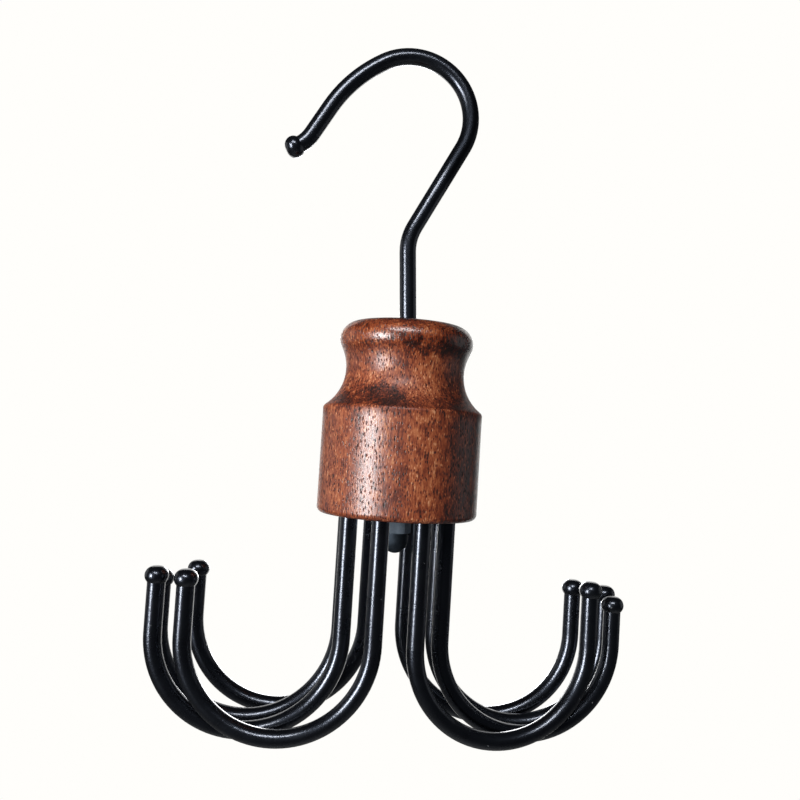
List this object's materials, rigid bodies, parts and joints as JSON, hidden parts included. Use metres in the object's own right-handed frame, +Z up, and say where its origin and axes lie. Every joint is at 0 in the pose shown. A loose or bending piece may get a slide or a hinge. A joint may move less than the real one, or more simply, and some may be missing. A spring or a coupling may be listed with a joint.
{
  "type": "tie hanger",
  "caption": "Hanger for ties and belts: a turned wooden block on a swivelling wire hook, with J-shaped wire hooks fanned out to both sides below it.",
  "frame": {"origin": "the rail seat: the highest point inside the hook's crook, where a wardrobe rail bears", "axes": "+Z up, along the swivel axis; the crook lies in the XZ plane and opens towards -X; the tie hooks point to +X and -X"},
  "size_m": [0.1393, 0.047, 0.2039],
  "materials": {
    "stained_wood": "reddish-brown stain with fine open pores, under a satin lacquer",
    "black_wire": "satin black coating on steel wire",
    "black_hardware": "satin black coating on steel"
  },
  "bodies": {
    "hook": {"swivel_hook": "black_wire", "washer": "black_hardware", "cap_nut": "black_hardware"},
    "carrier": {"wood_block": "stained_wood", "tie_hook_right_1": "black_wire", "tie_hook_right_2": "black_wire", "tie_hook_right_3": "black_wire", "tie_hook_right_4": "black_wire", "tie_hook_left_1": "black_wire", "tie_hook_left_2": "black_wire", "tie_hook_left_3": "black_wire", "tie_hook_left_4": "black_wire"}
  },
  "joints": [
    {"name": "swivel", "type": "hinge", "parent": "hook", "child": "carrier", "pos_m": [0.00267, 0, -0.13533], "axis": [0, 0, 1], "continuous": true}
  ]
}
